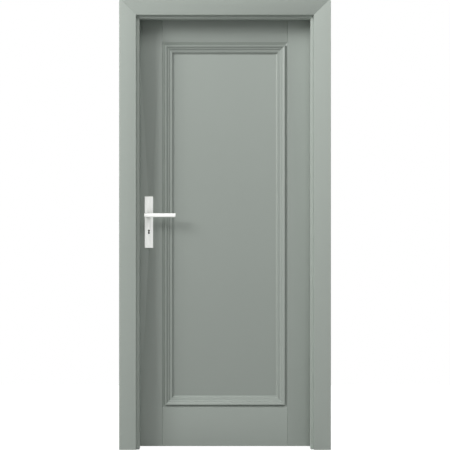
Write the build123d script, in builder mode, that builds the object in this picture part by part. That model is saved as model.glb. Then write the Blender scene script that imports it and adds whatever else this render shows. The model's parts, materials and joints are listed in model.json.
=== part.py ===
from build123d import *
import os

# A rebated interior door in its frame, without the wall: frame and panel leaf,
# three barrel hinges, a mortise lock with latch and dead bolt, and a pair of
# levers on long plates. Millimetres, +Z up, X across the doorway, +Y towards
# the room that the leaf opens into. The origin is on the floor, under the
# middle of the whole assembly.

# Doorway
clear_width = 800.0
clear_height = 2015.5
wall_thickness = 100.0

# Frame sections
jamb_thickness = 45.0
stop_width = 12.5
jamb_edge_showing = 14.5
jamb_setback = 9.0
nose_width = 26.0
architrave_width = 80.0
architrave_thickness = 10.0
tongue_length = 30.0
tongue_thickness = 4.6
tongue_slot_depth = 35.0
back_tongue_from_clear = 37.5
arris_radius = 2.0

# Leaf sections
leaf_thickness = 40.0
lip_thickness = 14.5
lip_width = 13.0
side_gap = 3.5
top_gap = 4.0
floor_gap = 7.0
seal_gap = 4.5
lip_gap = 2.0
stile_width = 127.0
top_rail_height = 127.0
bottom_rail_height = 183.0
joint_chamfer = 1.5
leaf_arris = 1.0

# Panel and the mouldings on both its faces
panel_thickness = 16.0
panel_tongue = 8.0
panel_slot_depth = 9.0
moulding_width = 55.0
quirk_width = 11.5
quirk_depth = 6.5
crest_height = 6.0
crest_rise = 0.7
crest_flat = 4.0
crest_width = 13.8
ledge_width = 3.5
ledge_height = 0.5
ledge_slope = 5.0
flat_height = -4.0
flat_width = 11.5
cove_step = 0.5
moulding_toe = 1.5
toe_height = 0.7
ovolo_fullness = 0.72

# Clearances
fit_gap = 0.3
glue_line = 0.1
hole_gap = 0.1
running_gap = 0.05
slide_gap = 0.3

# Dowels and screws
dowel_radius = 5.0
dowel_length = 80.0
dowel_end_gap = 1.0
screw_radius = 2.0
screw_head_radius = 3.8
screw_slot_width = 1.0
screw_slot_depth = 0.9
corner_screw_radius = 2.5
corner_screw_head_radius = 4.8
corner_screw_length = 75.0
corner_screws_from_stop = (37.0, 24.0)
slot_length_share = 1.4
top_dowel_shares = (0.25, 0.75)
low_dowel_shares = (0.2, 0.5, 0.8)

# Seal in the stop
seal_kerf_width = 3.0
seal_kerf_depth = 8.0
seal_kerf_from_clear = 4.5
seal_wall = 0.9
seal_bulb_width = 7.0

# Hinges
hinge_radius = 7.5
hinge_pin_radius = 4.0
hinge_knuckle = 38.0
hinge_washer = 1.0
hinge_stud_radius = 3.5
hinge_leaf_stud = 42.0
hinge_frame_stud = 44.0
hinge_from_leaf = 9.0
hinge_dome = 1.5
hinge_top_setback = 250.0
hinge_low_setback = 345.0
hinge_cap = 4.0

# Lock
lever_height = 1096.0
lever_to_key = 72.0
backset = 50.0
lock_body_depth = 76.0
lock_body_thickness = 15.0
lock_above_lever = 48.0
lock_below_key = 45.0
lock_wall = 1.5
lock_post_radius = 3.0
lock_post_inset = 8.0
lock_screw_radius = 1.25
lock_screw_head_radius = 2.3
lock_screw_length = 10.0
faceplate_thickness = 3.0
faceplate_width = 20.0
faceplate_height = 235.0
faceplate_screw_inset = 12.0
wood_screw_length = 22.0
mortise_gap = 0.5
latch_throw = 11.0
latch_height = 30.0
latch_head_length = 12.0
latch_tip = 2.0
latch_bar_height = 5.5
latch_bar_thickness = 8.0
bolt_throw = 14.0
bolt_height = 30.0
bolt_thickness = 8.0
bolt_head_length = 28.0
bolt_tail_height = 16.0
bolt_tail_length = 42.0
bolt_above_key = 17.0
guide_pin_radius = 2.0
guide_from_top = 4.0
key_notch_width = 10.0
key_notch_depth = 7.0
follower_radius = 10.0
follower_journal_radius = 8.0
follower_arm_width = 6.0
follower_arm_reach = 18.0
follower_arm_thickness = 7.0
spindle_size = 8.0
spring_thickness = 0.6
spring_width = 8.0
spring_height = 12.0
spring_length = 20.0

# Strike plate
strike_thickness = 2.0
strike_shorter_by = 45.0
strike_depth = 24.0
strike_return = 11.0
strike_screw_inset = 12.0
strike_slot_gap = 1.5
strike_screw_forward = 2.0

# Levers and plates
plate_width = 40.0
plate_height = 242.0
plate_thickness = 8.0
plate_centre_below_lever = 33.0
plate_wall = 2.5
plate_corner = 1.5
plate_arris = 1.0
plate_boss_radius = 15.0
plate_bolt_spacing = 216.0
plate_bolt_radius = 2.0
plate_bolt_head_radius = 4.5
plate_bolt_head_depth = 2.5
plate_sleeve_radius = 3.6
plate_sleeve_length = 32.0
plate_sleeve_wall = 1.4
key_round = 8.6
key_lobe = 9.0
key_waist = 5.6
key_hole_height = 20.7
lever_reach = 50.0
lever_bar_height = 19.0
lever_bar_depth = 16.0
lever_bar_round = 7.0
lever_bar_past_axis = 20.0
lever_bar_length = 147.0
lever_end_arris = 1.0
lever_neck_radius = 9.0
bush_wall = 2.0
bush_flange = 1.4
bush_flange_thickness = 0.6
spindle_in_lever = 20.0
set_screw_radius = 2.5
set_screw_from_plate = 7.0

# Depths, from the front of the architrave to the back of the rear lever
rebate_depth = seal_gap + leaf_thickness - lip_thickness - lip_gap
lever_projection = plate_thickness + lever_reach
overall_depth = (2 * architrave_thickness + wall_thickness - rebate_depth
                 + seal_gap + leaf_thickness + lever_projection)
front_face_y = -overall_depth / 2
wall_front_y = front_face_y + architrave_thickness
jamb_front_y = wall_front_y + jamb_setback
wall_back_y = wall_front_y + wall_thickness
nose_y = wall_back_y + architrave_thickness
stop_y = nose_y - rebate_depth
leaf_front_y = stop_y + seal_gap
leaf_back_y = leaf_front_y + leaf_thickness
lip_front_y = leaf_back_y - lip_thickness
leaf_middle_y = (leaf_front_y + leaf_back_y) / 2
panel_front_y = leaf_middle_y - panel_thickness / 2
panel_back_y = leaf_middle_y + panel_thickness / 2
lock_y = (leaf_front_y + lip_front_y) / 2

# Widths and heights
clear_half = clear_width / 2
rebate_half = clear_half + stop_width
leaf_edge = rebate_half - side_gap
lip_edge = leaf_edge + lip_width
stile_inner = lip_edge - stile_width
leaf_top = clear_height + stop_width - top_gap
lip_top = leaf_top + lip_width
opening_top = lip_top - top_rail_height
opening_bottom = floor_gap + bottom_rail_height
architrave_outer = jamb_edge_showing + architrave_width

# Lock and hinge places
lock_axis_x = -(leaf_edge - backset)
key_z = lever_height - lever_to_key
plate_centre_z = lever_height - plate_centre_below_lever
faceplate_z = (lever_height + lock_above_lever + key_z - lock_below_key) / 2
hinge_x = lip_edge + hinge_from_leaf
hinge_y = (lip_front_y + leaf_back_y) / 2
hinge_top_z = lip_top - hinge_top_setback
hinge_low_z = floor_gap + hinge_low_setback
hinge_heights = {
    "upper": hinge_top_z,
    "middle": (hinge_top_z + hinge_low_z) / 2,
    "lower": hinge_low_z,
}

os.makedirs("parts", exist_ok=True)


def save(part, label):
    part.label = label
    export_step(part, f"parts/{label}.step")


# Bars that run round a rectangle, such as jambs, architraves and mouldings

depth_dir = Vector(0, 1, 0)
outward_dir = {
    "left": Vector(-1, 0, 0),
    "right": Vector(1, 0, 0),
    "top": Vector(0, 0, 1),
    "bottom": Vector(0, 0, -1),
}
mitre_allowance = 2 * architrave_outer


def bar_on(edge, half_width, low, high, draw_section, square_foot=False):
    # The section is drawn with x pointing out of the rectangle and y as depth
    outward = outward_dir[edge]
    along = outward.cross(depth_dir)
    centre = Vector(0, 0, (low + high) / 2)
    upright = edge in ("left", "right")
    out_distance = half_width if upright else (high - low) / 2
    half_length = (high - low) / 2 if upright else half_width
    middle = centre + outward * out_distance
    with BuildPart() as bar:
        with BuildSketch(Plane(origin=middle, x_dir=outward, z_dir=along)):
            draw_section()
        extrude(amount=half_length + mitre_allowance, both=True)
        for toward in (along, along * -1):
            corner = middle + toward * (half_length - glue_line / 2)
            at_floor = square_foot and toward.Z < 0
            if at_floor:
                cut = Plane(origin=middle + toward * half_length, z_dir=toward)
            else:
                cut = Plane(origin=corner, z_dir=toward - outward)
            split(bisect_by=cut, keep=Keep.BOTTOM)
    return bar.part


def frame_bar(edge, draw_section):
    return bar_on(edge, clear_half, 0, clear_height, draw_section, square_foot=True)


def closed_outline(*points):
    with BuildLine() as outline:
        Polyline(*points, close=True)
    make_face(outline.edges())


# Screws, with a countersunk head flush at the origin of their plane

def turned(place, *points, mode=Mode.ADD):
    # Each point is (radius, depth below the plane)
    with BuildSketch(Plane(origin=place.origin, x_dir=place.x_dir, z_dir=place.y_dir)) as half:
        closed_outline(*points)
    revolve(half.sketch, axis=Axis(place.origin, place.z_dir), mode=mode)


def screw(place, length, radius, head_radius, pointed=True):
    shank_end = length - 2 * radius if pointed else length
    neck = head_radius - radius
    with BuildPart() as made:
        turned(place, (0, 0), (head_radius, 0), (radius, neck), (radius, shank_end), (0, length))
        with BuildSketch(place):
            Rectangle(slot_length_share * head_radius, screw_slot_width)
            Rectangle(screw_slot_width, slot_length_share * head_radius)
        extrude(amount=-screw_slot_depth, mode=Mode.SUBTRACT)
    return made.part


def screw_hole(place, length, radius, head_radius):
    # Used inside a part: the same form, larger by the hole's clearance
    turned(
        place,
        (0, 0),
        (head_radius + hole_gap, 0),
        (radius + hole_gap, head_radius - radius),
        (radius + hole_gap, length + hole_gap),
        (0, length + hole_gap),
        mode=Mode.SUBTRACT,
    )


def group(parts):
    return Compound(children=list(parts))


# Frame: jambs and head

front_slot_outer = jamb_edge_showing + tongue_thickness + fit_gap
back_slot_inner = back_tongue_from_clear - fit_gap / 2
back_slot_outer = back_tongue_from_clear + tongue_thickness + fit_gap / 2
kerf_outer = seal_kerf_from_clear + seal_kerf_width


def jamb_section():
    closed_outline(
        (0, jamb_front_y),
        (jamb_edge_showing, jamb_front_y),
        (jamb_edge_showing, wall_front_y + tongue_slot_depth),
        (front_slot_outer, wall_front_y + tongue_slot_depth),
        (front_slot_outer, jamb_front_y),
        (jamb_thickness, jamb_front_y),
        (jamb_thickness, wall_back_y),
        (back_slot_outer, wall_back_y),
        (back_slot_outer, wall_back_y - tongue_slot_depth),
        (back_slot_inner, wall_back_y - tongue_slot_depth),
        (back_slot_inner, wall_back_y),
        (nose_width, wall_back_y),
        (nose_width, nose_y),
        (stop_width, nose_y),
        (stop_width, stop_y),
        (kerf_outer, stop_y),
        (kerf_outer, stop_y - seal_kerf_depth),
        (seal_kerf_from_clear, stop_y - seal_kerf_depth),
        (seal_kerf_from_clear, stop_y),
        (0, stop_y),
    )
    reveal_corners = vertices().group_by(Axis.X)[0]
    fillet(reveal_corners, radius=arris_radius)
    nose_corner = vertices().group_by(Axis.Y)[-1].sort_by(Axis.X)[0]
    fillet(nose_corner, radius=arris_radius / 2)


jambs = {edge: frame_bar(edge, jamb_section) for edge in ("left", "right", "top")}


# Architraves: flat faced, with a tongue that slides into the jamb

def architrave_front_section():
    inner = jamb_edge_showing + fit_gap
    closed_outline(
        (inner, front_face_y),
        (architrave_outer, front_face_y),
        (architrave_outer, wall_front_y),
        (inner + tongue_thickness - fit_gap, wall_front_y),
        (inner + tongue_thickness - fit_gap, wall_front_y + tongue_length),
        (inner, wall_front_y + tongue_length),
    )
    fillet(vertices().group_by(Axis.Y)[0], radius=arris_radius)


def architrave_back_section():
    inner = nose_width + fit_gap
    tongue_outer = back_tongue_from_clear + tongue_thickness
    closed_outline(
        (inner, nose_y),
        (architrave_outer, nose_y),
        (architrave_outer, wall_back_y),
        (tongue_outer, wall_back_y),
        (tongue_outer, wall_back_y - tongue_length),
        (back_tongue_from_clear, wall_back_y - tongue_length),
        (back_tongue_from_clear, wall_back_y),
        (inner, wall_back_y),
    )
    fillet(vertices().group_by(Axis.Y)[-1], radius=arris_radius)


side_names = {"left": "left", "right": "right", "top": "head"}
architraves_back = {}
for edge, name in side_names.items():
    save(frame_bar(edge, architrave_front_section), f"architrave_front_{name}")
    architraves_back[edge] = frame_bar(edge, architrave_back_section)


# Seal: a hollow bulb on a stem, pressed into the kerf of the stop

def seal_section():
    stem_inner = seal_kerf_from_clear + fit_gap / 2
    stem_outer = kerf_outer - fit_gap / 2
    middle = (stem_inner + stem_outer) / 2
    bulb_half = seal_bulb_width / 2
    bulb_top = stop_y + seal_gap - slide_gap
    with BuildLine() as outer_line:
        base = Polyline(
            (middle - bulb_half, stop_y),
            (stem_inner, stop_y),
            (stem_inner, stop_y - seal_kerf_depth + fit_gap),
            (stem_outer, stop_y - seal_kerf_depth + fit_gap),
            (stem_outer, stop_y),
            (middle + bulb_half, stop_y),
        )
        ThreePointArc(base @ 1, (middle, bulb_top), base @ 0)
    make_face(outer_line.edges())
    with BuildLine() as inner_line:
        floor = Line(
            (middle - bulb_half + 2 * seal_wall, stop_y + seal_wall),
            (middle + bulb_half - 2 * seal_wall, stop_y + seal_wall),
        )
        ThreePointArc(floor @ 1, (middle, bulb_top - seal_wall), floor @ 0)
    make_face(inner_line.edges(), mode=Mode.SUBTRACT)


seal_names = {"left": "lock_side", "right": "hinge_side", "top": "head"}
for edge, name in seal_names.items():
    save(frame_bar(edge, seal_section), f"seal_{name}")


# Screws that pull the head onto the two sides

corner_screw_drop = nose_width
corner_screw_depths = [stop_y - forward for forward in corner_screws_from_stop]


def corner_screw_planes(side):
    return [
        Plane(
            origin=(side * (clear_half + jamb_thickness), y, clear_height + corner_screw_drop),
            x_dir=(0, 1, 0),
            z_dir=(side, 0, 0),
        )
        for y in corner_screw_depths
    ]


corner_screw_size = (corner_screw_length, corner_screw_radius, corner_screw_head_radius)
save(
    group(screw(place, *corner_screw_size) for side in (-1, 1) for place in corner_screw_planes(side)),
    "frame_corner_screws",
)

# Strike plate on the lock side: one leg in the rebate, one leg on the nose

strike_x = -rebate_half
strike_screw_y = lock_y - strike_screw_forward
strike_height = faceplate_height - strike_shorter_by
strike_screw_size = (wood_screw_length, screw_radius, screw_head_radius)
latch_low = lever_height - latch_height / 2
bolt_low = key_z + bolt_above_key - bolt_height / 2
latch_half_thickness = (lock_body_thickness / 2 - lock_wall) - slide_gap / 2
strike_z = (lever_height + key_z) / 2
strike_screw_planes = [
    Plane(
        origin=(strike_x, strike_screw_y, strike_z + end * (strike_height / 2 - strike_screw_inset)),
        x_dir=(0, 1, 0),
        z_dir=(1, 0, 0),
    )
    for end in (-1, 1)
]
strike_slots = [
    (latch_half_thickness, latch_low, latch_height, latch_throw - side_gap),
    (bolt_thickness / 2, bolt_low, bolt_height, bolt_throw - side_gap),
]


def strike_outline(gap):
    # Plan of the two legs, seen from above
    closed_outline(
        (strike_x, nose_y - strike_depth - gap),
        (strike_x, nose_y),
        (strike_x - strike_return - gap, nose_y),
        (strike_x - strike_return - gap, nose_y - strike_thickness),
        (strike_x - strike_thickness, nose_y - strike_thickness),
        (strike_x - strike_thickness, nose_y - strike_depth - gap),
    )


with BuildPart() as strike_plate:
    with BuildSketch(Plane.XY.offset(strike_z - strike_height / 2)):
        strike_outline(0)
    extrude(amount=strike_height)
    outer_bend = strike_plate.edges().filter_by(Axis.Z).group_by(Axis.X)[-1].sort_by(Axis.Y)[-1]
    fillet(outer_bend, radius=arris_radius / 2)
    for half_thickness, low, height, reach in strike_slots:
        with BuildSketch(Plane.YZ.offset(strike_x)):
            with Locations((lock_y, low + height / 2)):
                Rectangle(2 * (half_thickness + strike_slot_gap), height + 2 * strike_slot_gap)
        extrude(amount=-strike_thickness, mode=Mode.SUBTRACT)
    for place in strike_screw_planes:
        screw_hole(place, *strike_screw_size)
save(strike_plate.part, "strike_plate")
save(group(screw(place, *strike_screw_size) for place in strike_screw_planes), "strike_plate_screws")

# Hinges: the leaf's knuckle turns on a pin that stands in the frame's knuckle


def hinge_knuckle_part(height, low, dome_up, stud_dir, stud_length, stud_z, bore):
    # bore is (radius, low, high) of the hole for the pin
    with BuildPart() as knuckle:
        with BuildSketch(Plane.XY.offset(low)):
            with Locations((hinge_x, hinge_y)):
                Circle(hinge_radius)
        extrude(amount=height)
        end = knuckle.edges().group_by(Axis.Z)[-1 if dome_up else 0]
        fillet(end, radius=hinge_dome)
        with BuildSketch(Plane(origin=(hinge_x, hinge_y, stud_z), z_dir=stud_dir)):
            Circle(hinge_stud_radius)
        extrude(amount=stud_length)
        bore_radius, bore_low, bore_high = bore
        with BuildSketch(Plane.XY.offset(bore_low)):
            with Locations((hinge_x, hinge_y)):
                Circle(bore_radius)
        extrude(amount=bore_high - bore_low, mode=Mode.SUBTRACT)
    return knuckle.part


def hinge_pin_part(low, high):
    with BuildPart() as pin:
        with BuildSketch(Plane.XY.offset(low)):
            with Locations((hinge_x, hinge_y)):
                Circle(hinge_pin_radius)
        extrude(amount=high - low)
        chamfer(pin.edges().filter_by(GeomType.CIRCLE), length=hinge_dome / 2)
    return pin.part


def hinge_washer_part(middle):
    with BuildPart() as washer:
        with BuildSketch(Plane.XY.offset(middle - hinge_washer / 2)):
            with Locations((hinge_x, hinge_y)):
                Circle(hinge_radius)
                Circle(hinge_pin_radius + hole_gap, mode=Mode.SUBTRACT)
        extrude(amount=hinge_washer)
    return washer.part


for name, middle in hinge_heights.items():
    leaf_low = middle + hinge_washer / 2 + running_gap
    frame_high = middle - hinge_washer / 2
    pin_high = leaf_low + hinge_knuckle - hinge_cap - running_gap
    pin_low = frame_high - hinge_knuckle + hinge_cap
    leaf_bore = (hinge_pin_radius + running_gap, leaf_low, pin_high + running_gap)
    frame_bore = (hinge_pin_radius, pin_low, frame_high)
    save(
        hinge_knuckle_part(
            hinge_knuckle, leaf_low, True, (-1, 0, 0),
            hinge_leaf_stud, leaf_low + hinge_knuckle / 2, leaf_bore,
        ),
        f"hinge_{name}_leaf_knuckle",
    )
    save(
        hinge_knuckle_part(
            hinge_knuckle, frame_high - hinge_knuckle, False, (0, -1, 0),
            hinge_frame_stud, frame_high - hinge_knuckle / 2, frame_bore,
        ),
        f"hinge_{name}_frame_knuckle",
    )
    save(hinge_pin_part(pin_low, pin_high), f"hinge_{name}_pin")
save(group(hinge_washer_part(middle) for middle in hinge_heights.values()), "hinge_washers")


# Bores and pockets in the frame's own pieces

def drill(plane, radius, depth):
    with BuildSketch(plane) as bore:
        Circle(radius)
    extrude(bore.sketch, amount=-depth, mode=Mode.SUBTRACT)


def frame_stud_plane(middle):
    stud_z = middle - hinge_washer / 2 - hinge_knuckle / 2
    return Plane(origin=(hinge_x, nose_y, stud_z), z_dir=(0, 1, 0))


frame_stud_bore = hinge_frame_stud - (hinge_y - nose_y) + hole_gap
with BuildPart() as jamb_hinge_side:
    add(jambs["right"])
    for middle in hinge_heights.values():
        drill(frame_stud_plane(middle), hinge_stud_radius + hole_gap, frame_stud_bore)
    for place in corner_screw_planes(1):
        screw_hole(place, *corner_screw_size)
save(jamb_hinge_side.part, "jamb_hinge_side")

with BuildPart() as architrave_back_right:
    add(architraves_back["right"])
    for middle in hinge_heights.values():
        drill(frame_stud_plane(middle), hinge_stud_radius + hole_gap, frame_stud_bore)
save(architrave_back_right.part, "architrave_back_right")
save(architraves_back["left"], "architrave_back_left")
save(architraves_back["top"], "architrave_back_head")

with BuildPart() as jamb_head:
    add(jambs["top"])
    for side in (-1, 1):
        for place in corner_screw_planes(side):
            screw_hole(place, *corner_screw_size)
save(jamb_head.part, "jamb_head")

with BuildPart() as jamb_lock_side:
    add(jambs["left"])
    for place in corner_screw_planes(-1):
        screw_hole(place, *corner_screw_size)
    with BuildSketch(Plane.XY.offset(strike_z - strike_height / 2 - glue_line)):
        strike_outline(glue_line)
    extrude(amount=strike_height + 2 * glue_line, mode=Mode.SUBTRACT)
    for half_thickness, low, height, reach in strike_slots:
        with BuildSketch(Plane.YZ.offset(strike_x)):
            with Locations((lock_y, low + height / 2)):
                Rectangle(2 * (half_thickness + strike_slot_gap), height + 2 * strike_slot_gap)
        extrude(amount=-(reach + strike_slot_gap), mode=Mode.SUBTRACT)
    for place in strike_screw_planes:
        screw_hole(place, *strike_screw_size)
save(jamb_lock_side.part, "jamb_lock_side")

# Leaf: two stiles, two rails and the panel between them

panel_slot_half = (panel_thickness + fit_gap) / 2


def leaf_arris_fillet(side):
    # Rounds the front corner of the leaf's edge and the back corner of its lip
    front_corner = vertices().group_by(Axis.Y)[0].sort_by(Axis.X)[-1 if side > 0 else 0]
    back_corner = vertices().group_by(Axis.Y)[-1].sort_by(Axis.X)[-1 if side > 0 else 0]
    fillet([front_corner, back_corner], radius=leaf_arris)


def stile_outline(side):
    closed_outline(
        (side * (stile_inner + joint_chamfer), leaf_front_y),
        (side * leaf_edge, leaf_front_y),
        (side * leaf_edge, lip_front_y),
        (side * lip_edge, lip_front_y),
        (side * lip_edge, leaf_back_y),
        (side * (stile_inner + joint_chamfer), leaf_back_y),
        (side * stile_inner, leaf_back_y - joint_chamfer),
        (side * stile_inner, leaf_front_y + joint_chamfer),
    )
    leaf_arris_fillet(side)


def dowel_heights():
    top_room = leaf_top - opening_top - panel_slot_depth
    low_room = opening_bottom - panel_slot_depth - floor_gap
    top_heights = [opening_top + panel_slot_depth + top_room * share for share in top_dowel_shares]
    low_heights = [floor_gap + low_room * share for share in low_dowel_shares]
    return top_heights + low_heights


def drill_dowel_holes(side):
    # Blind holes of half the dowel's length, each way from the joint
    half = dowel_length / 2 + dowel_end_gap
    for z in dowel_heights():
        with BuildSketch(Plane(origin=(side * stile_inner, leaf_middle_y, z), z_dir=(1, 0, 0))) as bore:
            Circle(dowel_radius + running_gap)
        extrude(bore.sketch, amount=half, both=True, mode=Mode.SUBTRACT)


def stile(side):
    with BuildPart() as made:
        with BuildSketch(Plane.XY.offset(floor_gap)):
            stile_outline(side)
        extrude(amount=lip_top - floor_gap)
        # The rebate along the top, in line with the top rail's lip
        with BuildSketch(Plane.XY.offset(leaf_top)):
            with Locations((side * (stile_inner + stile_width / 2), (leaf_front_y + lip_front_y) / 2)):
                Rectangle(2 * stile_width, lip_front_y - leaf_front_y)
        extrude(amount=lip_width, mode=Mode.SUBTRACT)
        # The slot for the panel's edge
        slot_height = opening_top - opening_bottom + 2 * panel_slot_depth
        with BuildSketch(Plane.XY.offset(opening_bottom - panel_slot_depth)):
            with Locations((side * stile_inner, leaf_middle_y)):
                Rectangle(2 * panel_slot_depth, 2 * panel_slot_half)
        extrude(amount=slot_height, mode=Mode.SUBTRACT)
        drill_dowel_holes(side)
    return made.part


rail_half = stile_inner - glue_line


def rail(outline_points, slot_z):
    # The outline is (y, z); slot_z is the height of the edge that holds the panel
    with BuildPart() as made:
        with BuildSketch(Plane.YZ.offset(-rail_half)):
            closed_outline(*outline_points)
        extrude(amount=2 * rail_half)
        ends = made.edges().filter_by(Axis.Z)
        chamfer(ends.group_by(Axis.Y)[0] + ends.group_by(Axis.Y)[-1], length=joint_chamfer)
        inner_edges = [
            edge
            for edge in made.edges().filter_by(Axis.X)
            if abs(edge.center().Z - slot_z) < glue_line
            and abs(abs(edge.center().Y - leaf_middle_y) - leaf_thickness / 2) < glue_line
        ]
        chamfer(inner_edges, length=joint_chamfer)
        with BuildSketch(Plane.YZ.offset(-rail_half)):
            with Locations((leaf_middle_y, slot_z)):
                Rectangle(2 * panel_slot_half, 2 * panel_slot_depth)
        extrude(amount=2 * rail_half, mode=Mode.SUBTRACT)
        for side in (-1, 1):
            drill_dowel_holes(side)
    return made.part


save(
    rail(
        [
            (leaf_front_y, opening_top),
            (leaf_front_y, leaf_top),
            (lip_front_y, leaf_top),
            (lip_front_y, lip_top),
            (leaf_back_y, lip_top),
            (leaf_back_y, opening_top),
        ],
        opening_top,
    ),
    "rail_top",
)
save(
    rail(
        [
            (leaf_front_y, floor_gap),
            (leaf_front_y, opening_bottom),
            (leaf_back_y, opening_bottom),
            (leaf_back_y, floor_gap),
        ],
        opening_bottom,
    ),
    "rail_bottom",
)

with BuildPart() as centre_panel:
    panel_w = 2 * (stile_inner + panel_tongue)
    panel_h = opening_top - opening_bottom + 2 * panel_tongue
    with BuildSketch(Plane.XZ.offset(-panel_back_y)):
        with Locations((0, (opening_top + opening_bottom) / 2)):
            Rectangle(panel_w, panel_h)
    extrude(amount=panel_thickness)
save(centre_panel.part, "centre_panel")


def dowel(side, z):
    with BuildPart() as made:
        with BuildSketch(Plane(origin=(side * stile_inner, leaf_middle_y, z), z_dir=(1, 0, 0))):
            Circle(dowel_radius)
        extrude(amount=dowel_length / 2, both=True)
        chamfer(made.edges().filter_by(GeomType.CIRCLE), length=dowel_end_gap)
    return made.part


save(group(dowel(side, z) for side in (-1, 1) for z in dowel_heights()), "rail_dowels")


# Mouldings: mitred rings that stand proud of the leaf, inside the opening

def moulding_section(face_y, out):
    # Heights are from the leaf's face, positive out of the leaf
    def at(across, height):
        return (-across, face_y + out * height)

    base_height = -(leaf_thickness - panel_thickness) / 2
    crest_start = quirk_width + crest_rise
    crest_end = crest_start + crest_width
    ledge_end = crest_end + ledge_width
    flat_start = ledge_end + ledge_slope
    flat_end = flat_start + flat_width
    cove_end = moulding_width - moulding_toe
    cove_top = flat_height - cove_step
    cove_foot = base_height + toe_height
    with BuildLine() as outline:
        quirk = Polyline(
            at(glue_line, base_height),
            at(glue_line, -joint_chamfer),
            at(quirk_width, -quirk_depth),
            at(crest_start, crest_height),
            at(crest_start + crest_flat, crest_height),
        )
        ovolo_middle = (crest_start + crest_flat + crest_end) / 2 + crest_rise
        ovolo_height = ledge_height + (crest_height - ledge_height) * ovolo_fullness
        ovolo = ThreePointArc(quirk @ 1, at(ovolo_middle, ovolo_height), at(crest_end, ledge_height))
        flats = Polyline(
            ovolo @ 1,
            at(ledge_end, ledge_height),
            at(flat_start, flat_height),
            at(flat_end, flat_height),
            at(flat_end, cove_top),
        )
        hollow = (cove_end - flat_end) / 4
        cove_middle = at((flat_end + cove_end) / 2 - hollow / 2, (cove_top + cove_foot) / 2 - hollow / 2)
        cove = ThreePointArc(flats @ 1, cove_middle, at(cove_end, cove_foot))
        Polyline(
            cove @ 1,
            at(moulding_width, cove_foot),
            at(moulding_width, base_height),
            at(glue_line, base_height),
        )
    make_face(outline.edges())


for face, face_y, out in (("front", leaf_front_y, -1), ("back", leaf_back_y, 1)):
    for edge in outward_dir:
        ring_bar = bar_on(
            edge, stile_inner, opening_bottom, opening_top, lambda: moulding_section(face_y, out)
        )
        save(ring_bar, f"moulding_{face}_{edge}")


# Lock: a flat case in the stile's edge, behind a faceplate

face_x = -leaf_edge
case_x = face_x + faceplate_thickness + glue_line
case_end_x = case_x + lock_body_depth
case_low = key_z - lock_below_key
case_high = lever_height + lock_above_lever
case_front_y = lock_y - lock_body_thickness / 2
case_back_y = lock_y + lock_body_thickness / 2
post_places = [
    (x, z)
    for x in (case_x + lock_post_inset, case_end_x - lock_post_inset)
    for z in (case_low + lock_post_inset, case_high - lock_post_inset)
]


def facing(y):
    # A plane at depth y, seen from the front: local x is X and local y is Z
    return Plane.XZ.offset(-y)


def box_between(x, y, z, mode=Mode.ADD):
    # Each argument is a pair, low and high
    with BuildSketch(facing(y[1])) as side:
        with Locations(((x[0] + x[1]) / 2, (z[0] + z[1]) / 2)):
            Rectangle(x[1] - x[0], z[1] - z[0])
    extrude(side.sketch, amount=y[1] - y[0], mode=mode)


def key_outline(gap, centre_x=lock_axis_x):
    # A round over a lobe, joined by a waist
    drop = key_hole_height - key_round / 2 - key_lobe / 2
    with Locations((centre_x, key_z)):
        Circle(key_round / 2 + gap)
    with Locations((centre_x, key_z - drop)):
        Circle(key_lobe / 2 + gap)
    with Locations((centre_x, key_z - drop / 2)):
        Rectangle(key_waist + 2 * gap, drop)


def cut_keyhole(back_y, depth, gap):
    with BuildSketch(facing(back_y)) as hole:
        key_outline(gap)
    extrude(hole.sketch, amount=depth, mode=Mode.SUBTRACT)


def cut_round(x, z, back_y, depth, radius):
    with BuildSketch(facing(back_y)) as hole:
        with Locations((x, z)):
            Circle(radius)
    extrude(hole.sketch, amount=depth, mode=Mode.SUBTRACT)


cover_screw_planes = [
    Plane(origin=(x, case_front_y, z), x_dir=(1, 0, 0), z_dir=(0, -1, 0)) for x, z in post_places
]
cover_screw_size = (lock_screw_length, lock_screw_radius, lock_screw_head_radius)
latch_back_x = case_x + lock_wall + latch_head_length
lug_x = latch_back_x + spring_length
guide_x = lock_axis_x - bolt_throw + slide_gap
guide_z = bolt_low + bolt_height - guide_from_top
moving_slots = [
    (latch_half_thickness, latch_low, latch_height),
    (bolt_thickness / 2, bolt_low, bolt_height),
]

with BuildPart() as lock_case:
    box_between((case_x, case_end_x), (case_front_y + lock_wall, case_back_y), (case_low, case_high))
    box_between(
        (case_x + lock_wall, case_end_x - lock_wall),
        (case_front_y + lock_wall, case_back_y - lock_wall),
        (case_low + lock_wall, case_high - lock_wall),
        mode=Mode.SUBTRACT,
    )
    with BuildSketch(facing(case_back_y - lock_wall)):
        with Locations(*post_places):
            Circle(lock_post_radius)
    extrude(amount=lock_body_thickness - 2 * lock_wall)
    # Openings in the edge wall for the latch and the dead bolt
    for half_thickness, low, height in moving_slots:
        box_between(
            (case_x, case_x + lock_wall),
            (max(lock_y - half_thickness - slide_gap, case_front_y + lock_wall),
             min(lock_y + half_thickness + slide_gap, case_back_y - lock_wall)),
            (low - slide_gap, low + height + slide_gap),
            mode=Mode.SUBTRACT,
        )
    # The lug that the latch spring leans on, and the pin that guides the dead bolt
    box_between(
        (lug_x, lug_x + lock_wall),
        (lock_y - spring_width / 2, case_back_y - lock_wall),
        (latch_low, latch_low + spring_height),
    )
    with BuildSketch(facing(case_back_y - lock_wall)):
        with Locations((guide_x, guide_z)):
            Circle(guide_pin_radius)
    extrude(amount=lock_body_thickness - 2 * lock_wall)
    cut_keyhole(case_back_y, lock_wall, hole_gap)
    cut_round(lock_axis_x, lever_height, case_back_y, lock_wall, follower_journal_radius + running_gap)
    for place in cover_screw_planes:
        screw_hole(place, *cover_screw_size)
save(lock_case.part, "lock_case")

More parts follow.
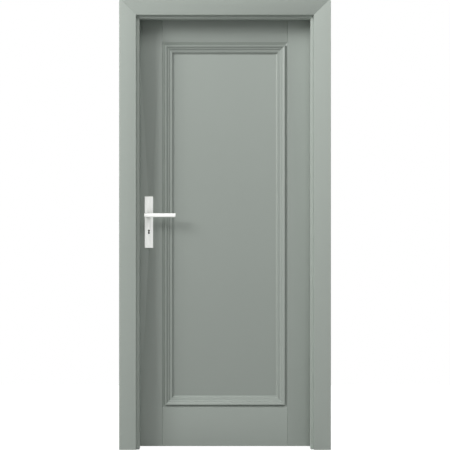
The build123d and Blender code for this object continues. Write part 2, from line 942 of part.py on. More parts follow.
with BuildPart() as lock_cover:
    box_between((case_x, case_end_x), (case_front_y, case_front_y + lock_wall), (case_low, case_high))
    cut_keyhole(case_front_y + lock_wall, lock_wall, hole_gap)
    cut_round(
        lock_axis_x, lever_height, case_front_y + lock_wall, lock_wall, follower_journal_radius + running_gap
    )
    for place in cover_screw_planes:
        screw_hole(place, *cover_screw_size)
save(lock_cover.part, "lock_cover")
save(group(screw(place, *cover_screw_size) for place in cover_screw_planes), "lock_cover_screws")

face_plane = Plane.YZ.offset(face_x)
faceplate_screw_planes = [
    Plane(
        origin=(face_x, lock_y, faceplate_z + end * (faceplate_height / 2 - faceplate_screw_inset)),
        x_dir=(0, 1, 0),
        z_dir=(-1, 0, 0),
    )
    for end in (-1, 1)
]
wood_screw_size = (wood_screw_length, screw_radius, screw_head_radius)

with BuildPart() as lock_faceplate:
    with BuildSketch(face_plane):
        with Locations((lock_y, faceplate_z)):
            RectangleRounded(faceplate_width, faceplate_height, leaf_arris)
        for half_thickness, low, height in moving_slots:
            with Locations((lock_y, low + height / 2)):
                Rectangle(2 * (half_thickness + slide_gap), height + 2 * slide_gap, mode=Mode.SUBTRACT)
    extrude(amount=faceplate_thickness)
    for place in faceplate_screw_planes:
        screw_hole(place, *wood_screw_size)
save(lock_faceplate.part, "lock_faceplate")
save(group(screw(place, *wood_screw_size) for place in faceplate_screw_planes), "lock_faceplate_screws")

# Latch: a bevelled head, and a bar with an ear that the follower's arm pulls

latch_top = latch_low + latch_height
bar_low = lever_height + follower_arm_reach + follower_arm_width / 2 + slide_gap
bar_top = bar_low + latch_bar_height
ear_x = lock_axis_x + follower_arm_width / 2 + slide_gap
ear_end = ear_x + latch_bar_height
ear_low = lever_height + follower_radius + slide_gap
riser_x = latch_back_x - latch_bar_height

with BuildPart() as latch_bolt:
    with BuildSketch(Plane.XY.offset(latch_low)):
        closed_outline(
            (latch_back_x, lock_y - latch_half_thickness),
            (latch_back_x, lock_y + latch_half_thickness),
            (face_x - latch_throw, lock_y + latch_half_thickness),
            (face_x - latch_throw, lock_y + latch_half_thickness - latch_tip),
            (face_x, lock_y - latch_half_thickness),
        )
    extrude(amount=latch_height)
    with BuildSketch(facing(lock_y + latch_bar_thickness / 2)):
        closed_outline(
            (riser_x, latch_top - latch_bar_height),
            (riser_x, bar_top),
            (ear_end, bar_top),
            (ear_end, ear_low),
            (ear_x, ear_low),
            (ear_x, bar_low),
            (latch_back_x, bar_low),
            (latch_back_x, latch_top - latch_bar_height),
        )
    extrude(amount=latch_bar_thickness)
save(latch_bolt.part, "latch_bolt")

# Latch spring: a hairpin strip between the latch's back and the lug

with BuildPart() as latch_spring:
    left_x = latch_back_x + slide_gap
    right_x = lug_x - slide_gap
    bend_z = latch_low - spring_thickness
    bend_radius = (right_x - left_x) / 2
    with BuildSketch(facing(lock_y + spring_width / 2)):
        for inset, mode in ((0, Mode.ADD), (spring_thickness, Mode.SUBTRACT)):
            with Locations(((left_x + right_x) / 2, bend_z)):
                Circle(bend_radius - inset, mode=mode)
        with Locations(((left_x + right_x) / 2, bend_z + bend_radius)):
            Rectangle(2 * bend_radius, 2 * bend_radius, mode=Mode.SUBTRACT)
        for x in (left_x + spring_thickness / 2, right_x - spring_thickness / 2):
            with Locations((x, bend_z + spring_height / 2)):
                Rectangle(spring_thickness, spring_height)
    extrude(amount=spring_width)
save(latch_spring.part, "latch_spring")

# Dead bolt: a plain head, and a slotted tail with the notch that the key's bit turns in

bolt_top = bolt_low + bolt_height
tail_low = bolt_top - bolt_tail_height
bolt_head_x = face_x + bolt_head_length
bolt_end_x = bolt_head_x + bolt_tail_length

with BuildPart() as dead_bolt:
    with BuildSketch(facing(lock_y + bolt_thickness / 2)):
        closed_outline(
            (face_x, bolt_low),
            (face_x, bolt_top),
            (bolt_end_x, bolt_top),
            (bolt_end_x, tail_low),
            (lock_axis_x + key_notch_width / 2, tail_low),
            (lock_axis_x + key_notch_width / 2, tail_low + key_notch_depth),
            (lock_axis_x - key_notch_width / 2, tail_low + key_notch_depth),
            (lock_axis_x - key_notch_width / 2, tail_low),
            (bolt_head_x, tail_low),
            (bolt_head_x, bolt_low),
        )
        with Locations((guide_x + bolt_throw / 2, guide_z)):
            SlotOverall(
                bolt_throw + 2 * (guide_pin_radius + slide_gap),
                2 * (guide_pin_radius + slide_gap),
                mode=Mode.SUBTRACT,
            )
    extrude(amount=bolt_thickness)
save(dead_bolt.part, "dead_bolt")

# Follower: a hub that the spindle turns, with the arm that draws the latch

with BuildPart() as lock_follower:
    cavity_half = lock_body_thickness / 2 - lock_wall
    for radius, half in (
        (follower_journal_radius, cavity_half + lock_wall),
        (follower_radius, cavity_half - slide_gap),
    ):
        with BuildSketch(facing(lock_y + half)):
            with Locations((lock_axis_x, lever_height)):
                Circle(radius)
        extrude(amount=2 * half)
    with BuildSketch(facing(lock_y + follower_arm_thickness / 2)):
        with Locations((lock_axis_x, lever_height + follower_arm_reach / 2)):
            Rectangle(follower_arm_width, follower_arm_reach)
        with Locations((lock_axis_x, lever_height + follower_arm_reach)):
            Circle(follower_arm_width / 2)
    extrude(amount=follower_arm_thickness)
    with BuildSketch(facing(case_back_y)):
        with Locations((lock_axis_x, lever_height)):
            Rectangle(spindle_size + 2 * running_gap, spindle_size + 2 * running_gap)
    extrude(amount=lock_body_thickness, mode=Mode.SUBTRACT)
save(lock_follower.part, "lock_follower")

with BuildPart() as spindle:
    past_leaf = plate_thickness + spindle_in_lever
    box_between(
        (lock_axis_x - spindle_size / 2, lock_axis_x + spindle_size / 2),
        (leaf_front_y - past_leaf, leaf_back_y + past_leaf),
        (lever_height - spindle_size / 2, lever_height + spindle_size / 2),
    )
save(spindle.part, "spindle")

# Handle set, made once for each face of the leaf; out is -1 on the front.
# The back plate is blind: it has no keyhole, so no light comes through the lock.

face_depth = {-1: leaf_front_y, 1: leaf_back_y}
face_name = {-1: "front", 1: "back"}
plate_bolt_heights = [plate_centre_z + end * plate_bolt_spacing / 2 for end in (-1, 1)]
bush_outer = lever_neck_radius + running_gap + bush_wall
plate_bolt_length = plate_thickness + leaf_thickness


def on_face(out, height=0, z=0):
    # A plane on the leaf's face over the lock's axis, facing out of the leaf
    return Plane(
        origin=(lock_axis_x, face_depth[out] + out * height, z), x_dir=(-out, 0, 0), z_dir=(0, out, 0)
    )


def bolt_planes(out):
    return [on_face(out, plate_thickness, z) for z in plate_bolt_heights]


bolt_size = (plate_bolt_length, plate_bolt_radius, plate_bolt_head_radius)
sleeve_head_radius = plate_bolt_head_radius + plate_sleeve_wall
sleeve_size = (plate_sleeve_length, plate_sleeve_radius, sleeve_head_radius)
head_size = {-1: bolt_size, 1: sleeve_size}


def handle_plate(out):
    with BuildPart() as plate:
        with BuildSketch(on_face(out)):
            with Locations((0, plate_centre_z)):
                RectangleRounded(plate_width, plate_height, plate_corner)
        extrude(amount=plate_thickness)
        outer_face = plate.faces().filter_by(Axis.Y).sort_by(Axis.Y)[0 if out < 0 else -1]
        fillet(outer_face.edges(), radius=plate_arris)
        # Hollow behind, but for the bosses at the lever, the bolts and the front's keyhole
        with BuildSketch(on_face(out)):
            with Locations((0, plate_centre_z)):
                Rectangle(plate_width - 2 * plate_wall, plate_height - 2 * plate_wall)
            with Locations((0, lever_height)):
                Circle(plate_boss_radius, mode=Mode.SUBTRACT)
            with Locations(*[(0, z) for z in plate_bolt_heights]):
                Circle(sleeve_head_radius + plate_wall, mode=Mode.SUBTRACT)
            if out < 0:
                with Locations((0, key_z - (key_hole_height - key_round) / 2)):
                    Rectangle(key_lobe + 2 * plate_wall, key_hole_height + 2 * plate_wall, mode=Mode.SUBTRACT)
        extrude(amount=plate_thickness - plate_wall, mode=Mode.SUBTRACT)
        with BuildSketch(on_face(out)):
            with Locations((0, lever_height)):
                Circle(bush_outer + running_gap)
            if out < 0:
                key_outline(0, centre_x=0)
        extrude(amount=plate_thickness, mode=Mode.SUBTRACT)
        for place in bolt_planes(out):
            screw_hole(place, *head_size[out])
    return plate.part


def lever_bush(out):
    with BuildPart() as bush:
        for radius, low, high in (
            (bush_outer, slide_gap, plate_thickness + bush_flange_thickness),
            (bush_outer + bush_flange, plate_thickness, plate_thickness + bush_flange_thickness),
        ):
            with BuildSketch(on_face(out, low)):
                with Locations((0, lever_height)):
                    Circle(radius)
            extrude(amount=high - low)
        with BuildSketch(on_face(out)):
            with Locations((0, lever_height)):
                Circle(lever_neck_radius + running_gap)
        extrude(amount=2 * plate_thickness, mode=Mode.SUBTRACT)
    return bush.part


def set_screw_plane(out):
    depth = face_depth[out] + out * (plate_thickness + set_screw_from_plate)
    return Plane(
        origin=(lock_axis_x, depth, lever_height - lever_neck_radius + slide_gap),
        x_dir=(1, 0, 0),
        z_dir=(0, 0, -1),
    )


set_screw_length = lever_neck_radius - slide_gap - spindle_size / 2 - 2 * running_gap


def lever(out):
    bar_middle = plate_thickness + lever_reach - lever_bar_depth / 2
    bar_start = lock_axis_x - lever_bar_past_axis
    with BuildPart() as made:
        section = Plane(
            origin=(bar_start, face_depth[out] + out * bar_middle, lever_height),
            x_dir=(0, 1, 0),
            z_dir=(1, 0, 0),
        )
        with BuildSketch(section):
            RectangleRounded(lever_bar_depth, lever_bar_height, lever_bar_round)
        extrude(amount=lever_bar_length)
        bar_ends = made.faces().filter_by(Axis.X)
        fillet(bar_ends.edges(), radius=lever_end_arris)
        with BuildSketch(on_face(out, slide_gap)):
            with Locations((0, lever_height)):
                Circle(lever_neck_radius)
        extrude(amount=bar_middle - slide_gap)
        with BuildSketch(on_face(out)):
            with Locations((0, lever_height)):
                Rectangle(spindle_size + 2 * running_gap, spindle_size + 2 * running_gap)
        extrude(amount=plate_thickness + spindle_in_lever + hole_gap, mode=Mode.SUBTRACT)
        with BuildSketch(set_screw_plane(out)):
            Circle(set_screw_radius + running_gap)
        extrude(amount=-lever_neck_radius + spindle_size / 2, mode=Mode.SUBTRACT)
        with BuildSketch(set_screw_plane(out)):
            Circle(set_screw_radius + running_gap)
        extrude(amount=slide_gap, mode=Mode.SUBTRACT)
    return made.part


def set_screw(out):
    with BuildPart() as made:
        with BuildSketch(set_screw_plane(out)):
            Circle(set_screw_radius)
        extrude(amount=-set_screw_length)
        with BuildSketch(set_screw_plane(out)):
            RegularPolygon(set_screw_radius / 2, 6)
        extrude(amount=-set_screw_length / 2, mode=Mode.SUBTRACT)
    return made.part


for out, name in face_name.items():
    save(handle_plate(out), f"handle_plate_{name}")
    save(lever_bush(out), f"lever_bush_{name}")
    save(lever(out), f"lever_{name}")
save(group(set_screw(out) for out in face_name), "lever_set_screws")
save(group(screw(place, *bolt_size, pointed=False) for place in bolt_planes(-1)), "handle_plate_bolts")


def plate_sleeve(place):
    with BuildPart() as sleeve:
        add(screw(place, *sleeve_size, pointed=False))
        with BuildSketch(place.offset(-plate_sleeve_length)):
            Circle(plate_bolt_radius + running_gap)
        extrude(amount=plate_sleeve_length - 2 * plate_bolt_head_depth, mode=Mode.SUBTRACT)
    return sleeve.part


save(group(plate_sleeve(place) for place in bolt_planes(1)), "handle_plate_sleeves")

# Stiles with their mortise, bores and recesses

with BuildPart() as stile_lock_side:
    add(stile(-1))
    box_between(
        (face_x, case_end_x + mortise_gap),
        (case_front_y - mortise_gap, case_back_y + mortise_gap),
        (case_low - mortise_gap, case_high + mortise_gap),
        mode=Mode.SUBTRACT,
    )
    with BuildSketch(face_plane):
        with Locations((lock_y, faceplate_z)):
            Rectangle(faceplate_width + 2 * hole_gap, faceplate_height + 2 * hole_gap)
    extrude(amount=faceplate_thickness + glue_line, mode=Mode.SUBTRACT)
    for place in faceplate_screw_planes:
        screw_hole(place, *wood_screw_size)
    cut_round(lock_axis_x, lever_height, leaf_back_y, leaf_thickness, follower_radius)
    cut_keyhole(leaf_back_y, leaf_thickness, plate_wall)
    for z in plate_bolt_heights:
        cut_round(lock_axis_x, z, leaf_back_y, leaf_thickness, plate_sleeve_radius + slide_gap)
save(stile_lock_side.part, "stile_lock_side")

with BuildPart() as stile_hinge_side:
    add(stile(1))
    for middle in hinge_heights.values():
        stud_z = middle + hinge_washer / 2 + running_gap + hinge_knuckle / 2
        drill(
            Plane(origin=(lip_edge, hinge_y, stud_z), z_dir=(1, 0, 0)),
            hinge_stud_radius + hole_gap,
            hinge_leaf_stud - hinge_from_leaf + hole_gap,
        )
save(stile_hinge_side.part, "stile_hinge_side")
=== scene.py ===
import json
import math

import bmesh
import bpy
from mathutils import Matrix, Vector


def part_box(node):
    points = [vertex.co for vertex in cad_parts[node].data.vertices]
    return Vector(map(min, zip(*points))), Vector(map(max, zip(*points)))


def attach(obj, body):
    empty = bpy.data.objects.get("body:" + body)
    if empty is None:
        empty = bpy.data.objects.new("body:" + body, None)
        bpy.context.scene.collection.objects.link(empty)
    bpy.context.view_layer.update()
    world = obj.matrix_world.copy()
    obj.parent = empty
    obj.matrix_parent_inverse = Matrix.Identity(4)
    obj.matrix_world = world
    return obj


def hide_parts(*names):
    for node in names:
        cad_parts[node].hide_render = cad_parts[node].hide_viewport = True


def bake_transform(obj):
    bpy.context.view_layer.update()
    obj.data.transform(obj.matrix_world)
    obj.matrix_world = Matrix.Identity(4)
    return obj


# An interior door in its frame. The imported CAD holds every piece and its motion; this script
# gives the pieces their eased edges, the screws their threads, and each surface its finish.

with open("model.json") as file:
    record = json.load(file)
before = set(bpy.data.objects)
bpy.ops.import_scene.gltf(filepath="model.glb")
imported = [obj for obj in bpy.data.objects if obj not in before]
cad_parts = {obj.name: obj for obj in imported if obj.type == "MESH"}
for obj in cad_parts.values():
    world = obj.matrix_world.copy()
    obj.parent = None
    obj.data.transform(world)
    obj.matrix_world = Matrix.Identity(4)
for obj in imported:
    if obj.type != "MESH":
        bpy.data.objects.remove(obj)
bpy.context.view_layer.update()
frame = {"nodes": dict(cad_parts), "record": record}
cadNodes = frame["nodes"]
slotOf = {part["node"]: part["material_slot"] for part in frame["record"]["subparts"]}
bodyOf = {}
for bodyName, members in frame["record"]["behaviour"]["bodies"].items():
    for member in members:
        bodyOf[member] = bodyName


# Helpers for objects and node trees

def addObject(name, data):
    made = bpy.data.objects.new(name, data)
    bpy.context.scene.collection.objects.link(made)
    return made


def plainMesh(holder):
    # What the modifiers make of the holder; the holder itself goes
    bpy.context.view_layer.update()
    evaluated = holder.evaluated_get(bpy.context.evaluated_depsgraph_get())
    mesh = bpy.data.meshes.new_from_object(evaluated)
    bpy.data.objects.remove(holder)
    return mesh


def feed(tree, value, socket):
    # A number is set on the socket and another node's output is linked to it
    if isinstance(value, (int, float)):
        socket.default_value = value
    else:
        tree.links.new(value, socket)


def mathOf(tree, operation, *values):
    step = tree.nodes.new("ShaderNodeMath")
    step.operation = operation
    for socket, value in zip(step.inputs, values):
        feed(tree, value, socket)
    return step.outputs["Value"]


# Helpers for the finishes

def startFinish(name, base):
    finish = bpy.data.materials.new(name)
    finish.use_nodes = True
    finish.diffuse_color = (*base, 1)
    tree = finish.node_tree
    coords = tree.nodes.new("ShaderNodeTexCoord")
    return finish, tree, tree.nodes["Principled BSDF"], coords.outputs["Object"]


def noiseOf(tree, coords, scale, detail=2.0, stretch=(1, 1, 1)):
    mapping = tree.nodes.new("ShaderNodeMapping")
    mapping.inputs["Scale"].default_value = stretch
    noise = tree.nodes.new("ShaderNodeTexNoise")
    noise.inputs["Scale"].default_value = scale
    noise.inputs["Detail"].default_value = detail
    tree.links.new(coords, mapping.inputs["Vector"])
    tree.links.new(mapping.outputs["Vector"], noise.inputs["Vector"])
    return noise.outputs["Fac"]


def spread(tree, pattern, low, high, span=(0.3, 0.7)):
    ranged = tree.nodes.new("ShaderNodeMapRange")
    ranged.inputs["From Min"].default_value = span[0]
    ranged.inputs["From Max"].default_value = span[1]
    ranged.inputs["To Min"].default_value = low
    ranged.inputs["To Max"].default_value = high
    tree.links.new(pattern, ranged.inputs["Value"])
    return ranged.outputs["Result"]


def mixOf(tree, pattern, first, second):
    # Between two colours; either one may be another node's output
    mix = tree.nodes.new("ShaderNodeMix")
    mix.data_type = "RGBA"
    tree.links.new(pattern, mix.inputs[0])
    for socket, colour in ((mix.inputs[6], first), (mix.inputs[7], second)):
        if isinstance(colour, tuple):
            socket.default_value = (*colour, 1)
        else:
            tree.links.new(colour, socket)
    return mix.outputs[2]


def tintOf(tree, pattern, base, shares):
    # The base colour, made darker and lighter by the two shares
    dark, light = (tuple(channel * share for channel in base) for share in shares)
    return mixOf(tree, pattern, dark, light)


def addHeights(tree, first, second, share):
    return mathOf(tree, "MULTIPLY_ADD", second, share, first)


def addBump(tree, shader, heights, strength, depth):
    bump = tree.nodes.new("ShaderNodeBump")
    bump.inputs["Strength"].default_value = strength
    bump.inputs["Distance"].default_value = depth
    tree.links.new(heights, bump.inputs["Height"])
    tree.links.new(bump.outputs["Normal"], shader.inputs["Normal"])


# Sprayed satin paint: a fine orange peel, a slow waviness and a little patchiness in its tone
# One paint on frame and leaf: the leaf's copy is made darker as painted shade of its deep recess,
# and the frame's a little lighter as painted light
paintLooks = {
    "litFramePaint": {"base": (0.436, 0.483, 0.441), "roughness": (0.40, 0.50)},
    "shadedLeafPaint": {"base": (0.352, 0.390, 0.357), "roughness": (0.38, 0.48)},
}
paintSurface = {
    "patchScale": 2.2,
    "tint": (0.982, 1.018),
    "peelScale": 420,
    "waveScale": 26,
    "waveHeight": 1.5,  # beside the peel
    "bump": 0.05,
    "depth": 0.0006,
    "specular": 0.42,
}


def sprayedPaint(name, look):
    finish, tree, shader, coords = startFinish(name, look["base"])
    patches = noiseOf(tree, coords, paintSurface["patchScale"], detail=3)
    tint = tintOf(tree, patches, look["base"], paintSurface["tint"])
    tree.links.new(tint, shader.inputs["Base Color"])
    gloss = noiseOf(tree, coords, paintSurface["waveScale"])
    tree.links.new(spread(tree, gloss, *look["roughness"]), shader.inputs["Roughness"])
    peel = noiseOf(tree, coords, paintSurface["peelScale"], detail=1.5)
    wave = noiseOf(tree, coords, paintSurface["waveScale"], detail=1)
    heights = addHeights(tree, peel, wave, paintSurface["waveHeight"])
    addBump(tree, shader, heights, paintSurface["bump"], paintSurface["depth"])
    shader.inputs["Specular IOR Level"].default_value = paintSurface["specular"]
    return finish


# Powder coat on the levers and plates; inside they are bare castings, coloured near black as
# painted shade, so that the keyhole looks dark
castShadeLook = {"base": (0.045, 0.045, 0.043), "roughness": 0.72, "wall": 0.0012}
coatLook = {
    "base": (0.92, 0.93, 0.905),
    "cloudScale": 9,
    "tint": (0.985, 1.01),
    "pearl": 0.72,
    "roughness": (0.42, 0.52),
    "grainScale": 950,
    "softScale": 237.5,
    "softHeight": 1.2,  # beside the grain
    "bump": 0.06,
    "depth": 0.0003,
}


def insidePlates(tree, coords):
    # 1 between the plates' walls, 0 on every face that shows
    front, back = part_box("handle_plate_front"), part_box("handle_plate_back")
    inset = Vector((castShadeLook["wall"], castShadeLook["wall"], castShadeLook["wall"]))
    low = Vector(front[0]) + inset
    high = Vector((front[1][0], back[1][1], front[1][2])) - inset
    place = tree.nodes.new("ShaderNodeSeparateXYZ")
    tree.links.new(coords, place.inputs[0])
    inside = 1.0
    for axis in range(3):
        above = mathOf(tree, "GREATER_THAN", place.outputs[axis], low[axis])
        below = mathOf(tree, "LESS_THAN", place.outputs[axis], high[axis])
        inside = mathOf(tree, "MULTIPLY", inside, mathOf(tree, "MULTIPLY", above, below))
    return inside


def powderCoat():
    finish, tree, shader, coords = startFinish("powderCoat", coatLook["base"])
    inside = insidePlates(tree, coords)
    pearl = spread(tree, inside, coatLook["pearl"], 0, span=(0, 1))
    tree.links.new(pearl, shader.inputs["Metallic"])
    clouds = noiseOf(tree, coords, coatLook["cloudScale"], detail=3)
    tint = tintOf(tree, clouds, coatLook["base"], coatLook["tint"])
    # Painted shade: near black between the plates' walls, where the keyhole looks in
    tree.links.new(mixOf(tree, inside, tint, castShadeLook["base"]), shader.inputs["Base Color"])
    grain = noiseOf(tree, coords, coatLook["grainScale"])
    matt = spread(tree, inside, 0, castShadeLook["roughness"] - coatLook["roughness"][1], span=(0, 1))
    gloss = mathOf(tree, "ADD", spread(tree, grain, *coatLook["roughness"]), matt)
    tree.links.new(gloss, shader.inputs["Roughness"])
    soft = noiseOf(tree, coords, coatLook["softScale"], detail=1)
    heights = addHeights(tree, grain, soft, coatLook["softHeight"])
    addBump(tree, shader, heights, coatLook["bump"], coatLook["depth"])
    return finish


# Satin nickel, brushed along the height of the door
nickelLook = {
    "base": (0.62, 0.61, 0.58),
    "smudgeScale": 60,
    "tint": (0.93, 1.03),
    "roughness": (0.24, 0.36),
    "lines": (900, 900, 12),
    "bump": 0.05,
    "depth": 0.0001,
}


def satinNickel():
    finish, tree, shader, coords = startFinish("satinNickel", nickelLook["base"])
    shader.inputs["Metallic"].default_value = 1
    brushed = noiseOf(tree, coords, 1.0, detail=3, stretch=nickelLook["lines"])
    smudges = noiseOf(tree, coords, nickelLook["smudgeScale"])
    tint = tintOf(tree, smudges, nickelLook["base"], nickelLook["tint"])
    tree.links.new(tint, shader.inputs["Base Color"])
    tree.links.new(spread(tree, brushed, *nickelLook["roughness"]), shader.inputs["Roughness"])
    addBump(tree, shader, brushed, nickelLook["bump"], nickelLook["depth"])
    return finish


# Zinc plated steel: a cloudy crystal pattern, a little yellow in places
zincLook = {
    "base": (0.60, 0.61, 0.62),
    "warm": (0.64, 0.61, 0.52),
    "warmShare": 0.8,
    "cloudScale": 40,
    "roughness": (0.30, 0.46),
    "crystalScale": 260,
    "crystalSpan": (0, 0.8),
    "crystalHeight": 0.5,  # beside the clouds
    "bump": 0.08,
    "depth": 0.0002,
}


def zincPlate():
    finish, tree, shader, coords = startFinish("zincPlate", zincLook["base"])
    shader.inputs["Metallic"].default_value = 1
    crystals = tree.nodes.new("ShaderNodeTexVoronoi")
    crystals.inputs["Scale"].default_value = zincLook["crystalScale"]
    tree.links.new(coords, crystals.inputs["Vector"])
    cells = crystals.outputs["Distance"]
    clouds = noiseOf(tree, coords, zincLook["cloudScale"], detail=4)
    warmth = spread(tree, clouds, 0, zincLook["warmShare"])
    tint = mixOf(tree, warmth, zincLook["base"], zincLook["warm"])
    tree.links.new(tint, shader.inputs["Base Color"])
    gloss = spread(tree, cells, *zincLook["roughness"], span=zincLook["crystalSpan"])
    tree.links.new(gloss, shader.inputs["Roughness"])
    heights = addHeights(tree, clouds, cells, zincLook["crystalHeight"])
    addBump(tree, shader, heights, zincLook["bump"], zincLook["depth"])
    return finish


# Grey rubber seal, matt, with the mould's bloom
rubberLook = {
    "base": (0.085, 0.09, 0.087),
    "bloomScale": 110,
    "tint": (0.85, 1.15),
    "roughness": (0.62, 0.78),
    "skinScale": 1500,
    "bump": 0.12,
    "depth": 0.0002,
}


def sealRubber():
    finish, tree, shader, coords = startFinish("sealRubber", rubberLook["base"])
    bloom = noiseOf(tree, coords, rubberLook["bloomScale"], detail=4)
    tint = tintOf(tree, bloom, rubberLook["base"], rubberLook["tint"])
    tree.links.new(tint, shader.inputs["Base Color"])
    tree.links.new(spread(tree, bloom, *rubberLook["roughness"]), shader.inputs["Roughness"])
    skin = noiseOf(tree, coords, rubberLook["skinScale"])
    addBump(tree, shader, skin, rubberLook["bump"], rubberLook["depth"])
    return finish


# Bare beech, with its grain along the dowels and the short flecks of its rays
beechLook = {
    "dark": (0.45, 0.27, 0.14),
    "light": (0.66, 0.45, 0.27),
    "roughness": (0.55, 0.7),
    "grain": (20, 520, 520),
    "flecks": (190, 1500, 1500),
    "fleckHeight": 0.35,  # beside the grain
    "darkSpan": (0.45, 0.9),
    "bump": 0.2,
    "depth": 0.0004,
}


def bareBeech():
    finish, tree, shader, coords = startFinish("bareBeech", beechLook["light"])
    grain = noiseOf(tree, coords, 1.0, detail=5, stretch=beechLook["grain"])
    flecks = noiseOf(tree, coords, 1.0, stretch=beechLook["flecks"])
    pattern = addHeights(tree, grain, flecks, beechLook["fleckHeight"])
    darkness = spread(tree, pattern, 0, 1, span=beechLook["darkSpan"])
    tint = mixOf(tree, darkness, beechLook["light"], beechLook["dark"])
    tree.links.new(tint, shader.inputs["Base Color"])
    tree.links.new(spread(tree, grain, *beechLook["roughness"]), shader.inputs["Roughness"])
    addBump(tree, shader, pattern, beechLook["bump"], beechLook["depth"])
    return finish


# Moulded nylon of the bushes and washers
nylonLook = {
    "base": (0.74, 0.75, 0.73),
    "flowScale": 70,
    "tint": (0.97, 1.02),
    "roughness": (0.42, 0.52),
    "skinScale": 1300,
    "bump": 0.08,
    "depth": 0.0002,
    "scatter": 0.04,
    "scatterReach": 0.002,
}


def mouldedNylon():
    finish, tree, shader, coords = startFinish("mouldedNylon", nylonLook["base"])
    flow = noiseOf(tree, coords, nylonLook["flowScale"], detail=3)
    tint = tintOf(tree, flow, nylonLook["base"], nylonLook["tint"])
    tree.links.new(tint, shader.inputs["Base Color"])
    tree.links.new(spread(tree, flow, *nylonLook["roughness"]), shader.inputs["Roughness"])
    skin = noiseOf(tree, coords, nylonLook["skinScale"])
    addBump(tree, shader, skin, nylonLook["bump"], nylonLook["depth"])
    shader.inputs["Subsurface Weight"].default_value = nylonLook["scatter"]
    shader.inputs["Subsurface Radius"].default_value = [nylonLook["scatterReach"]] * 3
    return finish


finishes = {
    "frame_paint": sprayedPaint("litFramePaint", paintLooks["litFramePaint"]),
    "leaf_paint": sprayedPaint("shadedLeafPaint", paintLooks["shadedLeafPaint"]),
    "white_paint": powderCoat(),
    "nickel_steel": satinNickel(),
    "zinc_steel": zincPlate(),
    "seal_rubber": sealRubber(),
    "bare_wood": bareBeech(),
    "bush_plastic": mouldedNylon(),
}
for nodeName, node in cadNodes.items():
    node.data.materials.clear()
    node.data.materials.append(finishes[slotOf[nodeName]])
print("finishes made:", len(finishes))


# Eased edges: a merged copy of each piece, with its sharp corners rounded as sanding,
# stamping or casting leaves them, and its curves shaded smooth
easing = {
    "frame_paint": 0.0006,
    "leaf_paint": 0.0005,
    "white_paint": 0.0004,
    "nickel_steel": 0.0003,
    "zinc_steel": 0.00015,
    "seal_rubber": 0.00015,
    "bush_plastic": 0.0002,
    "bare_wood": 0.0003,
}
merging = {"reach": 2e-6, "flatUnder": math.radians(0.4), "smoothUnder": math.radians(32)}
latchSpring = {"node": "latch_spring", "strip": 0.0006, "pushedBy": "latch", "restsOn": "leaf"}


def mergedShape(nodeName):
    # The CAD's loose triangles, joined at their corners
    shape = bmesh.new()
    shape.from_mesh(cadNodes[nodeName].data)
    bmesh.ops.remove_doubles(shape, verts=shape.verts, dist=merging["reach"])
    return shape


def mergedCopy(nodeName):
    shape = mergedShape(nodeName)
    flat = merging["flatUnder"]
    bmesh.ops.dissolve_limit(shape, angle_limit=flat, verts=shape.verts, edges=shape.edges)
    mesh = bpy.data.meshes.new(nodeName + "Eased")
    shape.to_mesh(mesh)
    shape.free()
    return mesh


def placePiece(name, mesh, nodeName):
    piece = addObject(name, mesh)
    mesh.materials.clear()
    mesh.materials.append(finishes[slotOf[nodeName]])
    if nodeName != latchSpring["node"]:
        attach(piece, bodyOf[nodeName])
    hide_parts(nodeName)


def easedPiece(nodeName):
    rough = addObject(nodeName + ".rough", mergedCopy(nodeName))
    rough.data.shade_smooth()
    bevel = rough.modifiers.new("easedEdges", "BEVEL")
    bevel.width = easing[slotOf[nodeName]]
    bevel.segments = 2
    bevel.limit_method = "ANGLE"
    bevel.angle_limit = merging["smoothUnder"]
    bevel.harden_normals = True
    mesh = plainMesh(rough)
    mesh.name = nodeName + "Eased"
    placePiece("eased_" + nodeName, mesh, nodeName)


# Each set of screws: the way its heads face, and the radii of its shanks and heads
screwLook = {
    "strike_plate_screws": {"aim": (1, 0, 0), "shank": 0.0020, "head": 0.0038},
    "lock_faceplate_screws": {"aim": (-1, 0, 0), "shank": 0.0020, "head": 0.0038},
    "frame_corner_screws": {"aim": None, "shank": 0.0025, "head": 0.0048},  # outwards at each side
    "lock_cover_screws": {"aim": (0, -1, 0), "shank": 0.00125, "head": 0.0023},
}
for nodeName in sorted(cadNodes):
    if nodeName not in screwLook:
        easedPiece(nodeName)
print("edges eased")


def bendSpring():
    # The spring's eased copy gets its placement baked into its mesh; it is attached to no body and
    # is not bent
    spring = bpy.data.objects["eased_" + latchSpring["node"]]
    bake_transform(spring)


bendSpring()


# Screws: a countersunk head with a cross recess, a plain neck and a wound thread
screwForm = {
    "plainShare": 0.38,  # of the length, head and neck
    "threadEnd": 0.9,  # of the length
    "coreShare": 0.74,  # of the shank's radius
    "pitch": 0.9,  # of the shank's radius
    "pointSlope": 0.5,
    "tipRadius": 0.0001,
    "barLength": 1.15,  # of the head's radius, as are the next two
    "barDepth": 0.9,
    "barWidth": 0.21,
    "rings": 61,
    "sides": 24,
    "turnSteps": 20,
    "seed": 4,
}


